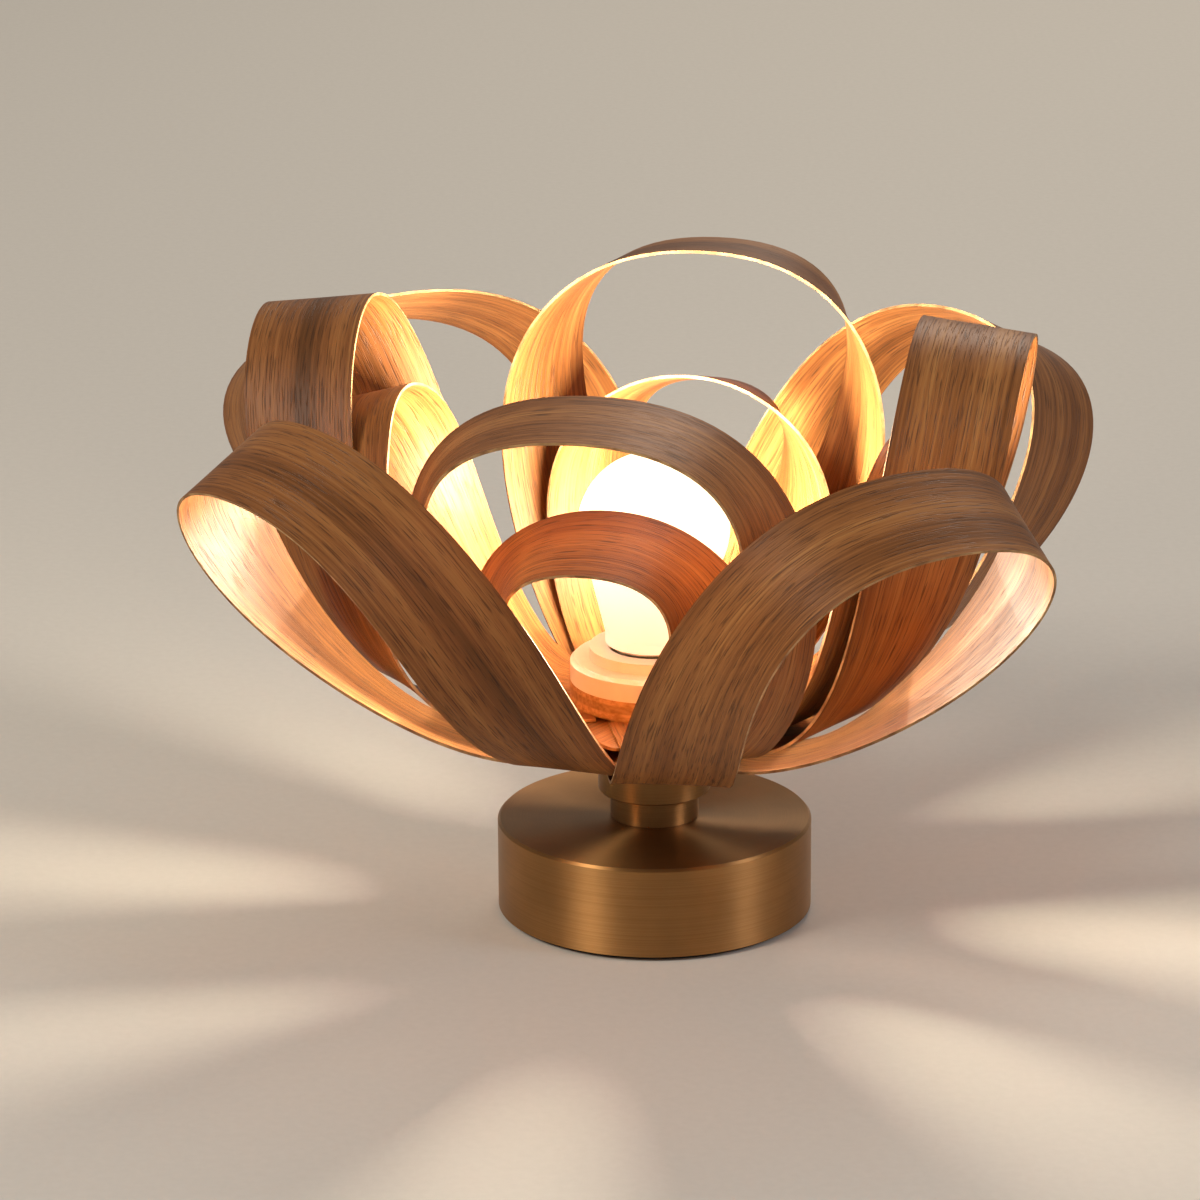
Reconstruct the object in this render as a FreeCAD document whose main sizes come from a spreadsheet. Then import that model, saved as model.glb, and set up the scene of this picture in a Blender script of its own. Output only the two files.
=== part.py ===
import FreeCAD, Part
import math
import os
import re
import Sketcher

# Portable table lamp: a flower of twelve bent veneer strips round a frosted globe bulb,
# on a brass neck and a round brass base that holds the battery, the charger and the switch.
# Millimetres, +Z up. The origin is on the table under the middle of the base, and the
# button and the charging port face +Y, the lamp's back.

doc = FreeCAD.newDocument("PetalLamp")

# Driving sizes, each with the piece it belongs to.
SIZES = {
    "base": {
        "base_diameter": 98, "base_height": 30, "edge_chamfer": 0.8, "shell_wall": 2, "shell_roof": 2.5,
        "pad_thickness": 1.5, "pad_inset": 2.5, "plate_thickness": 3, "plate_clearance": 0.3,
        "post_inset": 9, "post_diameter": 7,
        "screw_diameter": 3, "screw_head": 5.6, "screw_head_height": 1.7, "screw_length": 10,
        "screw_clearance": 0.1, "cut_overrun": 5,
    },
    "tube": {
        "tube_diameter": 10, "tube_wall": 1.25, "tube_tail": 1.5, "tube_clearance": 0.2,
        "nut_across": 14, "nut_height": 4, "washer_diameter": 22, "washer_thickness": 1,
    },
    "neck": {
        "ring_diameter": 27.5, "ring_height": 9, "collar_diameter": 35, "collar_height": 16.5,
        "collar_wall": 2, "collar_floor": 2.5, "neck_chamfer": 0.6,
    },
    "hub": {
        "clamp_diameter": 56, "clamp_thickness": 2, "lower_spacer_thickness": 3.4,
        "upper_spacer_thickness": 1.7, "hub_diameter": 52, "hub_thickness": 6.6, "hub_clearance": 0.4,
    },
    "strips": {
        "strip_width": 35, "veneer": 0.9, "glue_gap": 0.3, "flat_reach": 40, "splay_degrees": 22.5,
    },
    "holder": {
        "holder_diameter": 34, "holder_floor": 2.5, "flange_diameter": 52, "flange_height": 7,
        "flange_round": 1.2, "rim_diameter": 40, "rim_height": 3.5, "wire_well_diameter": 22,
        "wire_well_depth": 1, "contact_well_depth": 3, "contact_length": 25, "contact_width": 6,
        "contact_sheet": 0.8, "contact_dome": 5, "contact_dome_height": 0.4, "insert_diameter": 28.2,
        "insert_sheet": 0.6, "insert_height": 20, "insert_clearance": 0.1,
    },
    "bulb": {
        "bulb_gap": 0.1, "tip_diameter": 9, "tip_height": 1.6, "insulator_foot": 10.4, "insulator_top": 23,
        "insulator_height": 3.6, "cap_diameter": 26.2, "cap_height": 20, "cap_chamfer": 1,
        "neck_foot_diameter": 30, "neck_foot_height": 3, "bulb_neck_height": 24.5, "globe_diameter": 47,
        "globe_cut": 12, "globe_wall": 1.2, "led_board_diameter": 30, "led_board_thickness": 1.6,
    },
    "switch": {
        "spot_depth": 0.6, "spot_clearance": 0.3, "bezel_diameter": 10.5, "bezel_thickness": 1.2,
        "barrel_diameter": 8, "barrel_length": 12, "barrel_floor": 3, "barrel_clearance": 0.2,
        "button_diameter": 5.5, "button_clearance": 0.08, "button_length": 7, "button_proud": 1.4,
        "button_chamfer": 0.3, "switch_nut_across": 10, "switch_nut_height": 2,
        "switch_nut_clearance": 0.1,
    },
    "electronics": {
        "board_width": 26, "board_front": 12, "board_setback": 5, "board_thickness": 1.6,
        "standoff_diameter": 4, "standoff_height": 1.2, "standoff_inset": 3,
        "port_width": 8.9, "port_height": 3.2, "port_depth": 8.5, "port_setback": 1, "port_wall": 0.3,
        "port_back": 2, "port_clearance": 0.3, "port_tongue_width": 6.7, "port_tongue": 0.7,
        "port_tongue_depth": 5,
        "terminal_setback": 2, "terminal_width": 9, "terminal_depth": 6, "terminal_height": 5,
        "lead_diameter": 1.6, "lead_offset": 2, "lead_bend": 9, "lead_height": 2.5,
        "tray_back_edge": 3.5, "tray_post_gap": 1, "tray_clearance": 2, "tray_height": 4, "tray_wall": 1.5,
        "tray_floor": 1.2, "pack_height": 9, "pack_clearance": 0.3,
        "plug_setback": 2, "plug_side": 9, "plug_width": 6, "plug_depth": 5, "plug_height": 4,
        "pack_lead_diameter": 1.2, "pack_lead_spacing": 3, "pack_lead_height": 2,
    },
}

# Each ring of strips: the compass place of its first petal, where its tongues start, how far a
# leg runs on before it turns up, and the crown's lean.
TIERS = {
    "outer": {"azimuth_degrees": 38, "tongue_start": 24.5, "leg_pull": 51, "crown_lean_degrees": 63},
    "tall": {"azimuth_degrees": 79, "tongue_start": 21, "leg_pull": 54, "crown_lean_degrees": 83},
    "inner": {"azimuth_degrees": 76, "tongue_start": 21, "leg_pull": 34, "crown_lean_degrees": 74},
}

# Each petal, anticlockwise from the back: its crown's reach from the axis, rise above the table,
# sway to the side and half span, the share by which one leg runs further than the other, the turn
# of its tongues on the hub, and how early each leg twists (a smaller share is earlier).
PETALS = {
    "outer_petal_rear_right": {"reach": 141, "rise": 163, "sway": -8.5, "half_span": 84.5,
                               "uneven_share": -0.28, "turn_degrees": 6,
                               "left_twist_share": 0.735, "right_twist_share": 0.57},
    "outer_petal_rear_left": {"reach": 150, "rise": 162, "sway": 10, "half_span": 118,
                              "uneven_share": -0.15, "turn_degrees": -4,
                              "left_twist_share": 0.8, "right_twist_share": 0.8},
    "outer_petal_front_left": {"reach": 134, "rise": 167, "sway": -19.5, "half_span": 75.5,
                               "uneven_share": -0.145, "turn_degrees": 3,
                               "left_twist_share": 0.8, "right_twist_share": 0.93},
    "outer_petal_front_right": {"reach": 136, "rise": 162.5, "sway": 21, "half_span": 85,
                                "uneven_share": -0.1, "turn_degrees": -11.5,
                                "left_twist_share": 0.69, "right_twist_share": 0.76},
    "tall_petal_rear": {"reach": 88.5, "rise": 191, "sway": -2, "half_span": 93,
                        "uneven_share": 0.14, "turn_degrees": 0,
                        "left_twist_share": 1.29, "right_twist_share": 1.19},
    "tall_petal_left": {"reach": 112, "rise": 183, "sway": -28.5, "half_span": 55,
                        "uneven_share": 0.39, "turn_degrees": 0,
                        "left_twist_share": 0.75, "right_twist_share": 1.07},
    "tall_petal_front": {"reach": 80, "rise": 180.5, "sway": -6, "half_span": 98,
                         "uneven_share": 0.22, "turn_degrees": 0,
                         "left_twist_share": 1.015, "right_twist_share": 1.04},
    "tall_petal_right": {"reach": 96.5, "rise": 186.5, "sway": 15.6, "half_span": 68.5,
                         "uneven_share": -0.055, "turn_degrees": 0,
                         "left_twist_share": 0.615, "right_twist_share": 0.915},
    "inner_petal_rear": {"reach": 82, "rise": 149, "sway": 4, "half_span": 56,
                         "uneven_share": 0.2, "turn_degrees": 0,
                         "left_twist_share": 1.45, "right_twist_share": 1.45},
    "inner_petal_left": {"reach": 97, "rise": 157, "sway": -5, "half_span": 53,
                         "uneven_share": 0.1, "turn_degrees": 0,
                         "left_twist_share": 1.45, "right_twist_share": 1.45},
    "inner_petal_front": {"reach": 76.5, "rise": 142, "sway": 1.2, "half_span": 56.5,
                          "uneven_share": 0.28, "turn_degrees": 0,
                          "left_twist_share": 1.4, "right_twist_share": 1.31},
    "inner_petal_right": {"reach": 88, "rise": 149, "sway": 4, "half_span": 52,
                          "uneven_share": 0, "turn_degrees": 0,
                          "left_twist_share": 1.45, "right_twist_share": 1.45},
}
PETALS_PER_TIER = 4
STATIONS_PER_LEG = 14
POST_DEGREES = (30, 150, 270)

for section, rows in (("tiers", TIERS), ("petals", PETALS)):
    SIZES[section] = {f"{owner}_{column}": value
                      for owner, columns in rows.items() for column, value in columns.items()}

sheet = doc.addObject("Spreadsheet::Sheet", "Sizes")
row = 0
for section, sizes in SIZES.items():
    for alias, value in sizes.items():
        row += 1
        sheet.set(f"A{row}", section)
        sheet.set(f"B{row}", str(value))
        sheet.setAlias(f"B{row}", alias)
        sheet.set(f"C{row}", alias.replace("_", " "))
doc.recompute()
ALIASES = {alias for sizes in SIZES.values() for alias in sizes}


def size(alias):
    """The number that the sheet holds under this name."""
    return float(sheet.get(alias))


# Heights and places worked out from the driving sizes.
levels = doc.addObject("App::VarSet", "Levels")
DERIVED = set()


def named(text):
    """Adds the owner's name to each size in a formula."""
    def owner(match):
        word = match.group(0)
        if word in ALIASES:
            return "Sizes." + word
        if word in DERIVED:
            return "Levels." + word
        return word
    return re.sub(r"[a-z_]+", owner, text)


def derive(name, text):
    levels.addProperty("App::PropertyFloat", name)
    levels.setExpression(name, named(text))
    DERIVED.add(name)


def level(name):
    return getattr(levels, name)


derive("base_radius", "base_diameter / 2")
derive("tube_hole", "tube_diameter / 2 + tube_clearance")
derive("plate_top", "pad_thickness + plate_thickness")
derive("roof_under", "base_height - shell_roof")
derive("nut_top", "roof_under - washer_thickness")
derive("tube_foot", "nut_top - nut_height - tube_tail")
derive("collar_foot", "base_height + ring_height")
derive("collar_top", "collar_foot + collar_height")
derive("clamp_top", "collar_top + clamp_thickness")
derive("tongue_pair", "2 * veneer + glue_gap")
derive("lower_spacer_foot", "clamp_top + tongue_pair")
derive("lower_spacer_top", "lower_spacer_foot + lower_spacer_thickness")
derive("upper_spacer_foot", "lower_spacer_top + tongue_pair")
derive("upper_spacer_top", "upper_spacer_foot + upper_spacer_thickness")
derive("hub_foot", "upper_spacer_top + tongue_pair")
derive("hub_top", "hub_foot + hub_thickness")
derive("hub_hole", "holder_diameter / 2 + hub_clearance")
derive("floor_top", "clamp_top + holder_floor")
derive("contact_seat", "floor_top + wire_well_depth")
derive("contact_top", "contact_seat + contact_sheet")
derive("insert_seat", "contact_seat + contact_well_depth")
derive("flange_top", "hub_top + flange_height")
derive("rim_top", "flange_top + rim_height")
derive("bulb_foot", "contact_top + contact_dome_height + bulb_gap")
derive("tip_top", "bulb_foot + tip_height")
derive("cap_foot", "tip_top + insulator_height")
derive("cap_top", "cap_foot + cap_height")
derive("bulb_neck_top", "cap_top + bulb_neck_height")
derive("globe_centre", "bulb_neck_top + globe_cut")
derive("flat_face", "base_radius - spot_depth")
derive("shell_inside", "base_radius - shell_wall")
derive("post_place", "shell_inside - post_inset")
derive("board_foot", "plate_top + standoff_height")
derive("board_top", "board_foot + board_thickness")
derive("board_back", "base_radius - board_setback")
derive("terminal_front", "board_front + terminal_setback")
derive("plug_front", "board_front + plug_setback")
derive("port_middle", "board_top + port_height / 2")
derive("switch_level", "(board_top + port_height + roof_under) / 2")
derive("lead_level", "board_top + lead_height")
derive("tube_bore", "tube_diameter / 2 - tube_wall")
derive("tray_front_edge", "post_place - post_diameter / 2 - tray_post_gap")
derive("tray_width", "tray_front_edge - tray_back_edge")
derive("tray_length", "2 * sqrt((shell_inside - tray_clearance) ^ 2 - tray_front_edge ^ 2)")
doc.recompute()

NODES = []


def keep(node):
    """Lists a finished piece, which is written under its label."""
    NODES.append(node)
    return node


def primitive(kind, name, place=None, turn=None, **sizes):
    """A Part primitive whose sizes and place follow formulas."""
    piece = doc.addObject("Part::" + kind, name)
    if turn:
        piece.Placement = FreeCAD.Placement(FreeCAD.Vector(), turn)
    for prop, text in sizes.items():
        piece.setExpression(prop, named(text))
    for axis, text in (place or {}).items():
        piece.setExpression("Placement.Base." + axis, named(text))
    return piece


def cut(name, base, *tools):
    piece = doc.addObject("Part::Cut", name)
    piece.Base = base
    piece.Tool = tools[0] if len(tools) == 1 else fuse(name + "_tools", *tools)
    return piece


def fuse(name, *pieces):
    piece = doc.addObject("Part::MultiFuse", name)
    piece.Shapes = list(pieces)
    return piece


def group(name, pieces):
    """Several separate solids under one name."""
    piece = doc.addObject("Part::Compound", name)
    piece.Links = list(pieces)
    return piece


def ring(name, outer, inner, foot, height, place=None):
    """A plain ring or washer; outer and inner are radii."""
    spot = dict(place or {}, z=foot)
    bore_spot = dict(place or {}, z=f"{foot} - cut_overrun")
    body = primitive("Cylinder", name + "_blank", spot, Radius=outer, Height=height)
    bore = primitive("Cylinder", name + "_bore", bore_spot, Radius=inner,
                     Height=f"{height} + 2 * cut_overrun")
    return cut(name, body, bore)


def hex_nut(name, across, bore, foot, height):
    blank = primitive("Prism", name + "_blank", {"z": foot}, Circumradius=f"{across} / 2 / cos(30)",
                      Height=height)
    hole = primitive("Cylinder", name + "_bore", {"z": f"{foot} - cut_overrun"}, Radius=bore,
                     Height=f"{height} + 2 * cut_overrun")
    return cut(name, blank, hole)


# A sketch starts as a unit polygon clear of both axes, and its formulas then pull it into shape.
START_PLACE = 2


def turned(name, outline):
    """A body of revolution; the outline lists radius and height formulas in order round it."""
    body = doc.addObject("PartDesign::Body", name)
    plane = next(item for item in body.Origin.OriginFeatures if item.Role == "XZ_Plane")
    sketch = body.newObject("Sketcher::SketchObject", name + "_outline")
    sketch.AttachmentSupport = [(plane, "")]
    sketch.MapMode = "FlatFace"
    count = len(outline)
    turns = [math.tau * i / count for i in range(count)]
    start = [FreeCAD.Vector(START_PLACE + math.cos(turn), START_PLACE + math.sin(turn), 0) for turn in turns]
    for i in range(count):
        sketch.addGeometry(Part.LineSegment(start[i], start[(i + 1) % count]), False)
    for i in range(count):
        sketch.addConstraint(Sketcher.Constraint("Coincident", i, 2, (i + 1) % count, 1))
    for i, (radius, height) in enumerate(outline):
        for kind, axis, text in (("DistanceX", -2, radius), ("DistanceY", -1, height)):
            if text == "0":
                sketch.addConstraint(Sketcher.Constraint("PointOnObject", i, 1, axis))
                continue
            index = sketch.addConstraint(Sketcher.Constraint(kind, -1, 1, i, 1, 1.0))
            sketch.setExpression(f"Constraints[{index}]", named(text))
    turn = body.newObject("PartDesign::Revolution", name + "_turn")
    turn.Profile = sketch
    turn.ReferenceAxis = (sketch, ["V_Axis"])
    turn.Angle = 360
    return body


ALONG_Y = FreeCAD.Rotation(FreeCAD.Vector(1, 0, 0), -90)


def stadium(name, width, height, depth, back, middle):
    """A flat bar with round sides that runs along Y, centred on the lamp's middle plane."""
    half = f"({height}) / 2"
    side = f"({width}) / 2 - {half}"
    core = primitive("Box", name + "_core", {"x": f"-({side})", "y": back, "z": f"{middle} - {half}"},
                     Length=f"2 * ({side})", Width=depth, Height=height)
    ends = [primitive("Cylinder", f"{name}_end_{sign}", {"x": f"{factor} * ({side})", "y": back, "z": middle},
                      ALONG_Y, Radius=half, Height=depth)
            for sign, factor in (("right", "1"), ("left", "-1"))]
    return fuse(name, core, *ends)


def polar(degrees, radius):
    """Formulas for a place round the lamp's axis."""
    return {"x": f"{radius} * cos({degrees})", "y": f"{radius} * sin({degrees})"}


# Base

def make_base_shell():
    cup = turned("base_cup", [
        ("base_radius", "pad_thickness"), ("base_radius", "base_height - edge_chamfer"),
        ("base_radius - edge_chamfer", "base_height"), ("tube_hole", "base_height"),
        ("tube_hole", "roof_under"), ("shell_inside", "roof_under"), ("shell_inside", "pad_thickness")])
    spot = primitive("Cylinder", "switch_flat", {"y": "flat_face", "z": "switch_level"}, ALONG_Y,
                     Radius="bezel_diameter / 2 + spot_clearance", Height="spot_depth + cut_overrun")
    hole = primitive("Cylinder", "switch_hole",
                     {"y": "shell_inside - cut_overrun", "z": "switch_level"}, ALONG_Y,
                     Radius="barrel_diameter / 2 + barrel_clearance", Height="shell_wall + 2 * cut_overrun")
    slot = stadium("port_slot", "port_width + 2 * port_clearance", "port_height + 2 * port_clearance",
                   "shell_wall + 2 * cut_overrun", "shell_inside - cut_overrun", "port_middle")
    keep(cut("base_shell", cup, spot, hole, slot))


def make_base_plate():
    disc = primitive("Cylinder", "plate_disc", {"z": "pad_thickness"}, Height="plate_thickness",
                     Radius="shell_inside - plate_clearance")
    holes, screws, posts = [], [], []
    for i, degrees in enumerate(POST_DEGREES, 1):
        spot = polar(degrees, "post_place")
        foot = dict(spot, z="pad_thickness")
        holes.append(primitive("Cone", f"sink_{i}", foot, Radius1="screw_head / 2 + screw_clearance",
                               Radius2="screw_diameter / 2 + screw_clearance", Height="screw_head_height"))
        holes.append(primitive("Cylinder", f"plate_hole_{i}", dict(spot, z="pad_thickness - cut_overrun"),
                               Radius="screw_diameter / 2 + screw_clearance",
                               Height="plate_thickness + 2 * cut_overrun"))
        head = primitive("Cone", f"screw_head_{i}", foot, Radius1="screw_head / 2",
                         Radius2="screw_diameter / 2", Height="screw_head_height")
        shank = primitive("Cylinder", f"screw_shank_{i}", foot, Radius="screw_diameter / 2",
                          Height="screw_length")
        screws.append(fuse(f"screw_{i}", head, shank))
        posts.append(ring(f"post_{i}", "post_diameter / 2", "screw_diameter / 2 + screw_clearance",
                          "plate_top", "roof_under - plate_top", spot))
    keep(cut("base_plate", disc, *holes))
    keep(group("plate_screws", screws))
    keep(group("base_posts", posts))
    keep(primitive("Cylinder", "foot_pad", Radius="base_radius - pad_inset", Height="pad_thickness"))


def make_tube():
    ring_height = "contact_seat - wire_well_depth - tube_foot"
    keep(ring("threaded_tube", "tube_diameter / 2", "tube_bore", "tube_foot", ring_height))
    keep(ring("tube_washer", "washer_diameter / 2", "tube_hole", "nut_top", "washer_thickness"))
    keep(hex_nut("tube_nut", "nut_across", "tube_hole", "nut_top - nut_height", "nut_height"))
    keep(hex_nut("collar_nut", "nut_across", "tube_hole", "collar_top - nut_height", "nut_height"))


def make_neck():
    keep(turned("neck_ring", [
        ("tube_hole", "base_height"), ("ring_diameter / 2 - neck_chamfer", "base_height"),
        ("ring_diameter / 2", "base_height + neck_chamfer"), ("ring_diameter / 2", "collar_foot"),
        ("tube_hole", "collar_foot")]))
    keep(turned("neck_collar", [
        ("tube_hole", "collar_foot"), ("collar_diameter / 2 - neck_chamfer", "collar_foot"),
        ("collar_diameter / 2", "collar_foot + neck_chamfer"), ("collar_diameter / 2", "collar_top"),
        ("collar_diameter / 2 - collar_wall", "collar_top"),
        ("collar_diameter / 2 - collar_wall", "collar_foot + collar_floor"),
        ("tube_hole", "collar_foot + collar_floor")]))


def make_hub():
    keep(ring("clamp_plate", "clamp_diameter / 2", "tube_hole", "collar_top", "clamp_thickness"))
    keep(ring("lower_spacer", "clamp_diameter / 2", "hub_hole", "lower_spacer_foot",
              "lower_spacer_thickness"))
    keep(ring("upper_spacer", "hub_diameter / 2", "hub_hole", "upper_spacer_foot",
              "upper_spacer_thickness"))
    keep(ring("hub_disc", "hub_diameter / 2", "hub_hole", "hub_foot", "hub_thickness"))


# Lamp holder and bulb

def make_holder():
    bore = "insert_diameter / 2 + insert_clearance"
    contact_well = "contact_length / 2 + insert_clearance"
    keep(turned("holder_shell", [
        ("tube_hole", "clamp_top"), ("holder_diameter / 2", "clamp_top"), ("holder_diameter / 2", "hub_top"),
        ("flange_diameter / 2", "hub_top"), ("flange_diameter / 2", "flange_top - flange_round"),
        ("flange_diameter / 2 - flange_round", "flange_top"), ("rim_diameter / 2", "flange_top"),
        ("rim_diameter / 2", "rim_top"), (bore, "rim_top"), (bore, "insert_seat"),
        (contact_well, "insert_seat"), (contact_well, "contact_seat"),
        ("wire_well_diameter / 2", "contact_seat"), ("wire_well_diameter / 2", "floor_top"),
        ("tube_hole", "floor_top")]))
    keep(ring("holder_screw_shell", "insert_diameter / 2", "insert_diameter / 2 - insert_sheet",
              "insert_seat", "insert_height"))
    strip = primitive("Box", "contact_strip",
                      {"x": "-contact_length / 2", "y": "-contact_width / 2", "z": "contact_seat"},
                      Length="contact_length", Width="contact_width", Height="contact_sheet")
    ends = primitive("Cylinder", "contact_ends", {"z": "contact_seat"}, Radius="contact_length / 2",
                     Height="contact_sheet")
    rounded = doc.addObject("Part::Common", "contact_rounded")
    rounded.Base = strip
    rounded.Tool = ends
    dome = primitive("Cylinder", "contact_button", {"z": "contact_seat"}, Radius="contact_dome / 2",
                     Height="contact_sheet + contact_dome_height")
    keep(fuse("holder_contact", rounded, dome))


def make_bulb():
    keep(turned("bulb_contact", [
        ("0", "bulb_foot"), ("tip_diameter / 3", "bulb_foot"),
        ("tip_diameter / 2", "bulb_foot + tip_height / 2"), ("tip_diameter / 2", "tip_top"), ("0", "tip_top")]))
    keep(turned("bulb_insulator", [
        ("0", "tip_top"), ("insulator_foot / 2", "tip_top"), ("insulator_top / 2", "cap_foot"),
        ("0", "cap_foot")]))
    keep(turned("bulb_cap", [
        ("0", "cap_foot"), ("cap_diameter / 2 - cap_chamfer", "cap_foot"),
        ("cap_diameter / 2", "cap_foot + cap_chamfer"), ("cap_diameter / 2", "cap_top"), ("0", "cap_top")]))
    globe_foot = "sqrt((globe_diameter / 2) ^ 2 - globe_cut ^ 2)"
    keep(turned("bulb_neck", [
        ("0", "cap_top"), ("neck_foot_diameter / 2", "cap_top"),
        ("neck_foot_diameter / 2", "cap_top + neck_foot_height"), (globe_foot, "bulb_neck_top"),
        ("0", "bulb_neck_top")]))
    keep(primitive("Cylinder", "bulb_led_board", {"z": "bulb_neck_top"}, Radius="led_board_diameter / 2",
                   Height="led_board_thickness"))
    ball = primitive("Sphere", "globe_outside", {"z": "globe_centre"}, Radius="globe_diameter / 2",
                     Angle1="-asin(2 * globe_cut / globe_diameter)")
    hollow = primitive("Sphere", "globe_inside", {"z": "globe_centre"},
                       Radius="globe_diameter / 2 - globe_wall")
    keep(cut("bulb_globe", ball, hollow))


# Switch and electronics

def make_switch():
    body = turned("switch_body", [
        ("0", "button_chamfer"), ("barrel_diameter / 2", "button_chamfer"),
        ("barrel_diameter / 2", "barrel_length"), ("bezel_diameter / 2", "barrel_length"),
        ("bezel_diameter / 2", "barrel_length + bezel_thickness - button_chamfer"),
        ("bezel_diameter / 2 - button_chamfer", "barrel_length + bezel_thickness"),
        ("button_diameter / 2 + button_clearance", "barrel_length + bezel_thickness"),
        ("button_diameter / 2 + button_clearance", "barrel_floor"), ("0", "barrel_floor")])
    button_front = "barrel_length + bezel_thickness + button_proud"
    button = turned("power_button", [
        ("0", f"{button_front} - button_length"), ("button_diameter / 2", f"{button_front} - button_length"),
        ("button_diameter / 2", f"{button_front} - button_chamfer"),
        ("button_diameter / 2 - button_chamfer", button_front), ("0", button_front)])
    for piece in (body, button):
        piece.Placement = FreeCAD.Placement(FreeCAD.Vector(), ALONG_Y)
        piece.setExpression("Placement.Base.y", named("flat_face - barrel_length"))
        piece.setExpression("Placement.Base.z", named("switch_level"))
        keep(piece)
    corner = "switch_nut_across / 2 / cos(30)"
    seat = f"sqrt(shell_inside ^ 2 - ({corner}) ^ 2) - switch_nut_clearance"
    nut = primitive("Prism", "switch_nut_blank", {"y": f"{seat} - switch_nut_height", "z": "switch_level"},
                    ALONG_Y, Circumradius=corner, Height="switch_nut_height")
    hole = primitive("Cylinder", "switch_nut_bore",
                     {"y": f"{seat} - switch_nut_height - cut_overrun", "z": "switch_level"}, ALONG_Y,
                     Radius="barrel_diameter / 2 + switch_nut_clearance",
                     Height="switch_nut_height + 2 * cut_overrun")
    keep(cut("switch_nut", nut, hole))


def make_board():
    keep(primitive("Box", "circuit_board",
                   {"x": "-board_width / 2", "y": "board_front", "z": "board_foot"},
                   Length="board_width", Width="board_back - board_front", Height="board_thickness"))
    side = "(board_width / 2 - standoff_inset)"
    rows = {"front": "board_front + standoff_inset", "rear": "board_back - standoff_inset"}
    keep(group("board_standoffs", [
        primitive("Cylinder", f"standoff_{row_name}_{side_name}",
                  {"x": f"{sign} * {side}", "y": spot, "z": "plate_top"},
                  Radius="standoff_diameter / 2", Height="standoff_height")
        for row_name, spot in rows.items() for side_name, sign in (("right", "1"), ("left", "-1"))]))
    port_front = "base_radius - port_setback"
    can = stadium("port_can", "port_width", "port_height", "port_depth", f"{port_front} - port_depth",
                  "port_middle")
    mouth = stadium("port_mouth", "port_width - 2 * port_wall", "port_height - 2 * port_wall",
                    "port_depth - port_back + cut_overrun", f"{port_front} - port_depth + port_back",
                    "port_middle")
    tongue = primitive("Box", "port_tongue_plate",
                       {"x": "-port_tongue_width / 2", "y": f"{port_front} - port_depth + port_wall",
                        "z": "port_middle - port_tongue / 2"},
                       Length="port_tongue_width", Width="port_tongue_depth + port_back - port_wall",
                       Height="port_tongue")
    keep(fuse("charging_socket", cut("port_shell", can, mouth), tongue))
    keep(primitive("Box", "wire_terminal",
                   {"x": "-terminal_width / 2", "y": "terminal_front", "z": "board_top"},
                   Length="terminal_width", Width="terminal_depth", Height="terminal_height"))
    keep(primitive("Box", "battery_plug",
                   {"x": "plug_side - plug_width / 2", "y": "plug_front", "z": "board_top"},
                   Length="plug_width", Width="plug_depth", Height="plug_height"))


def make_battery():
    tray = primitive("Box", "tray_blank",
                     {"x": "-tray_length / 2", "y": "-tray_front_edge", "z": "plate_top"},
                     Length="tray_length", Width="tray_width", Height="tray_height")
    pocket = primitive("Box", "tray_pocket",
                       {"x": "tray_wall - tray_length / 2", "y": "tray_wall - tray_front_edge",
                        "z": "plate_top + tray_floor"},
                       Length="tray_length - 2 * tray_wall", Width="tray_width - 2 * tray_wall",
                       Height="tray_height + cut_overrun")
    keep(cut("battery_tray", tray, pocket))
    inset = "tray_wall + pack_clearance"
    pack_back = f"-tray_back_edge - ({inset})"
    keep(primitive("Box", "battery_pack",
                   {"x": f"{inset} - tray_length / 2", "y": f"{inset} - tray_front_edge",
                    "z": "plate_top + tray_floor"},
                   Length=f"tray_length - 2 * ({inset})", Width=f"tray_width - 2 * ({inset})",
                   Height="pack_height"))
    keep(group("battery_leads", [
        primitive("Cylinder", f"battery_lead_{name}",
                  {"x": f"plug_side + {sign} * pack_lead_spacing / 2", "y": pack_back,
                   "z": "board_top + pack_lead_height"}, ALONG_Y,
                  Radius="pack_lead_diameter / 2", Height=f"plug_front - ({pack_back})")
        for name, sign in (("positive", "1"), ("negative", "-1"))]))


def make_lead_wires():
    """Two wires up the tube, from the board's terminal to the underside of the holder's contact."""
    quarter = FreeCAD.Rotation(FreeCAD.Vector(0, -1, 0), FreeCAD.Vector(0, 0, -1), FreeCAD.Vector(1, 0, 0), "ZXY")
    wires = []
    for name, sign in (("right", "1"), ("left", "-1")):
        across = f"{sign} * lead_offset"
        rise = primitive("Cylinder", f"lead_rise_{name}", {"x": across, "z": "lead_level + lead_bend"},
                         Radius="lead_diameter / 2", Height="contact_seat - lead_level - lead_bend")
        bend = primitive("Torus", f"lead_bend_{name}",
                         {"x": across, "y": "lead_bend", "z": "lead_level + lead_bend"}, quarter,
                         Radius1="lead_bend", Radius2="lead_diameter / 2")
        bend.Angle3 = 90
        run = primitive("Cylinder", f"lead_run_{name}", {"x": across, "y": "lead_bend", "z": "lead_level"},
                        ALONG_Y, Radius="lead_diameter / 2", Height="terminal_front - lead_bend")
        wires.append(fuse(f"lead_wire_{name}", rise, bend, run))
    keep(group("lead_wires", wires))


# Veneer strips

def cubic(points, share):
    """A point on a cubic curve and its direction there."""
    a, b, c, d = points
    rest = 1 - share
    place = a * rest ** 3 + b * (3 * rest * rest * share) + c * (3 * rest * share * share) + d * share ** 3
    way = (b - a) * (rest * rest) + (c - b) * (2 * rest * share) + (d - c) * (share * share)
    return place, way.normalize()


def across_strip(start, crown, share, way):
    """The strip's width direction, turned steadily from the hub to the crown and square to the strip."""
    mixed = start * (1 - share) + crown * share
    mixed = mixed - way * mixed.dot(way)
    return mixed.normalize()


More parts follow.
